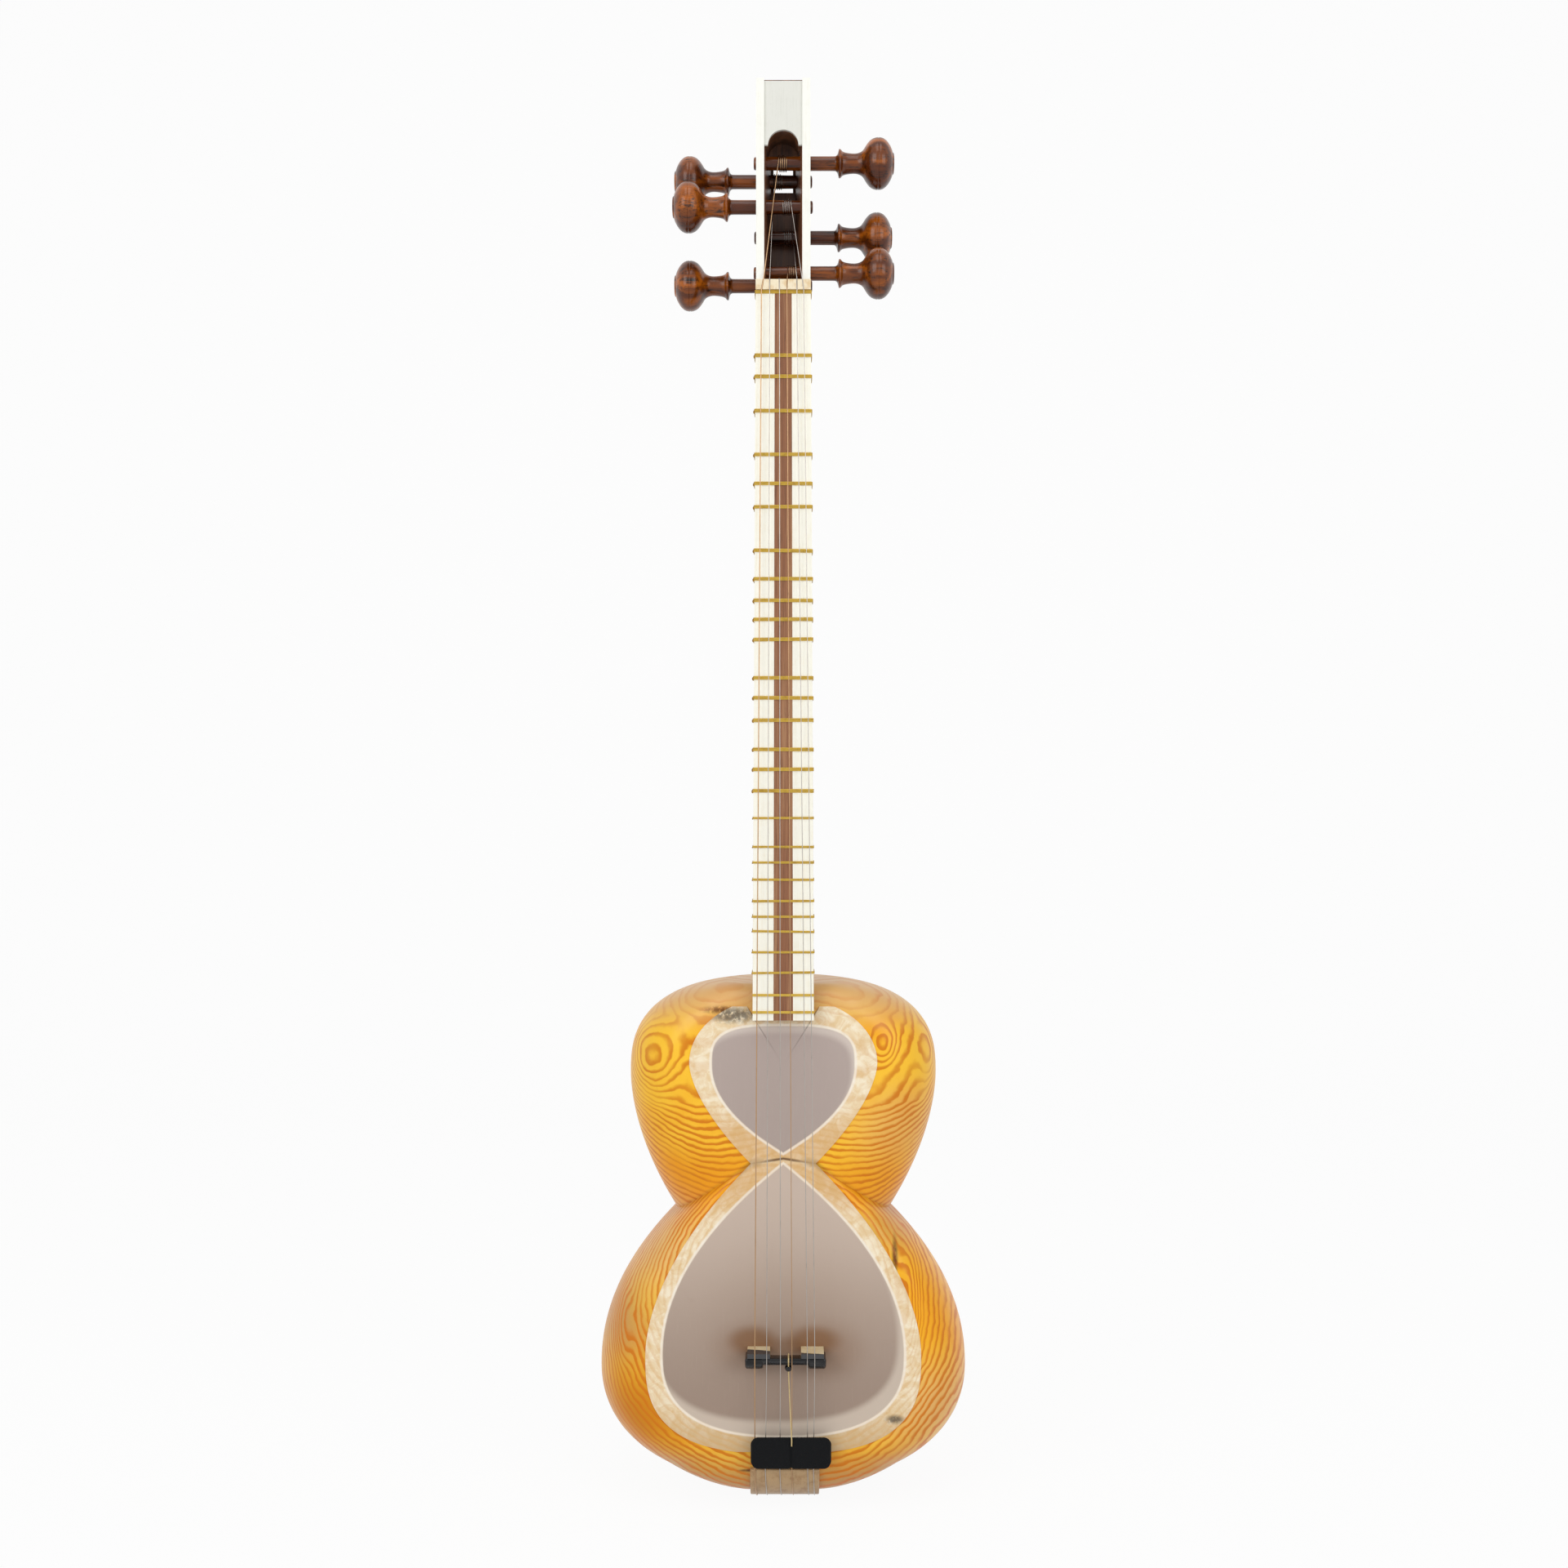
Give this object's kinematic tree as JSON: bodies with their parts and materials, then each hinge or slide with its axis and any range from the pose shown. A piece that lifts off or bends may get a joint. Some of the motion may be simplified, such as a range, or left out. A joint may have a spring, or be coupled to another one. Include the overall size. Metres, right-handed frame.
{
  "type": "persian tar",
  "caption": "Long-necked plucked lute with a double bowl of carved wood, two stretched skins, tied gut frets, turned pegs, a horn bridge and a hand pad.",
  "frame": {"origin": "middle of the neck at the nut line, in the plane of the skins", "axes": "+Z towards the head, -Y is the front with the strings, +X to the right of the front view"},
  "size_m": [0.246, 0.1969, 0.9287],
  "materials": {
    "mulberry": "flamed mulberry under a clear orange varnish",
    "skin": "thin stretched membrane, satin",
    "walnut": "dark walnut, oiled",
    "peg_wood": "turned hardwood, glossy lacquer",
    "bone": "polished bone",
    "gut": "twisted gut",
    "horn": "polished black horn",
    "felt": "black felt",
    "steel": "bright drawn wire",
    "brass": "bright wire"
  },
  "bodies": {
    "lute": {"bowl_half_left": "mulberry", "bowl_half_right": "mulberry", "small_skin": "skin", "large_skin": "skin", "neck": "walnut", "fingerboard_core": "walnut", "fingerboard_bone_left": "bone", "fingerboard_bone_right": "bone", "nut": "bone", "nut_tie": "gut", "pegbox": "walnut", "pegbox_edge_left": "bone", "pegbox_edge_right": "bone", "head_panel": "bone", "tied_frets": "gut", "glued_frets": "gut", "bridge_horn": "horn", "bridge_bone": "bone", "bridge_bead": "horn", "bridge_tie": "gut", "hand_pad": "felt", "tailpiece": "bone", "tail_pins": "brass", "string_1": "brass", "string_2": "steel", "string_3": "steel", "string_4": "brass", "string_5": "steel", "string_6": "steel"},
    "peg_1_body": {"peg_1": "peg_wood", "winding_2": "steel"},
    "peg_2_body": {"peg_2": "peg_wood", "winding_6": "steel"},
    "peg_3_body": {"peg_3": "peg_wood", "winding_3": "steel"},
    "peg_4_body": {"peg_4": "peg_wood", "winding_1": "brass"},
    "peg_5_body": {"peg_5": "peg_wood", "winding_5": "steel"},
    "peg_6_body": {"peg_6": "peg_wood", "winding_4": "brass"},
    "fret_1_body": {"movable_fret_1": "gut"},
    "fret_2_body": {"movable_fret_2": "gut"},
    "fret_3_body": {"movable_fret_3": "gut"},
    "fret_4_body": {"movable_fret_4": "gut"},
    "fret_5_body": {"movable_fret_5": "gut"},
    "fret_6_body": {"movable_fret_6": "gut"},
    "fret_7_body": {"movable_fret_7": "gut"},
    "fret_8_body": {"movable_fret_8": "gut"}
  },
  "joints": [
    {"name": "peg_1_turn", "type": "hinge", "parent": "lute", "child": "peg_1_body", "pos_m": [0, 0.031, 0.0796], "axis": [-1, 0, 0], "continuous": true},
    {"name": "peg_2_turn", "type": "hinge", "parent": "lute", "child": "peg_2_body", "pos_m": [0, 0.007, 0.0556], "axis": [-1, 0, 0], "continuous": true},
    {"name": "peg_3_turn", "type": "hinge", "parent": "lute", "child": "peg_3_body", "pos_m": [0, 0.031, 0.0104], "axis": [-1, 0, 0], "continuous": true},
    {"name": "peg_4_turn", "type": "hinge", "parent": "lute", "child": "peg_4_body", "pos_m": [0, 0.007, 0.0841], "axis": [1, 0, 0], "continuous": true},
    {"name": "peg_5_turn", "type": "hinge", "parent": "lute", "child": "peg_5_body", "pos_m": [0, 0.031, 0.0424], "axis": [1, 0, 0], "continuous": true},
    {"name": "peg_6_turn", "type": "hinge", "parent": "lute", "child": "peg_6_body", "pos_m": [0, 0.007, 0.0124], "axis": [1, 0, 0], "continuous": true},
    {"name": "fret_1_slide", "type": "slide", "parent": "lute", "child": "fret_1_body", "axis": [0, 0, 1], "range_m": [-0.006, 0.006]},
    {"name": "fret_2_slide", "type": "slide", "parent": "lute", "child": "fret_2_body", "axis": [0, 0, 1], "range_m": [-0.006, 0.006]},
    {"name": "fret_3_slide", "type": "slide", "parent": "lute", "child": "fret_3_body", "axis": [0, 0, 1], "range_m": [-0.004, 0.004]},
    {"name": "fret_4_slide", "type": "slide", "parent": "lute", "child": "fret_4_body", "axis": [0, 0, 1], "range_m": [-0.004, 0.004]},
    {"name": "fret_5_slide", "type": "slide", "parent": "lute", "child": "fret_5_body", "axis": [0, 0, 1], "range_m": [-0.004, 0.004]},
    {"name": "fret_6_slide", "type": "slide", "parent": "lute", "child": "fret_6_body", "axis": [0, 0, 1], "range_m": [-0.004, 0.004]},
    {"name": "fret_7_slide", "type": "slide", "parent": "lute", "child": "fret_7_body", "axis": [0, 0, 1], "range_m": [-0.003, 0.003]},
    {"name": "fret_8_slide", "type": "slide", "parent": "lute", "child": "fret_8_body", "axis": [0, 0, 1], "range_m": [-0.003, 0.003]}
  ]
}
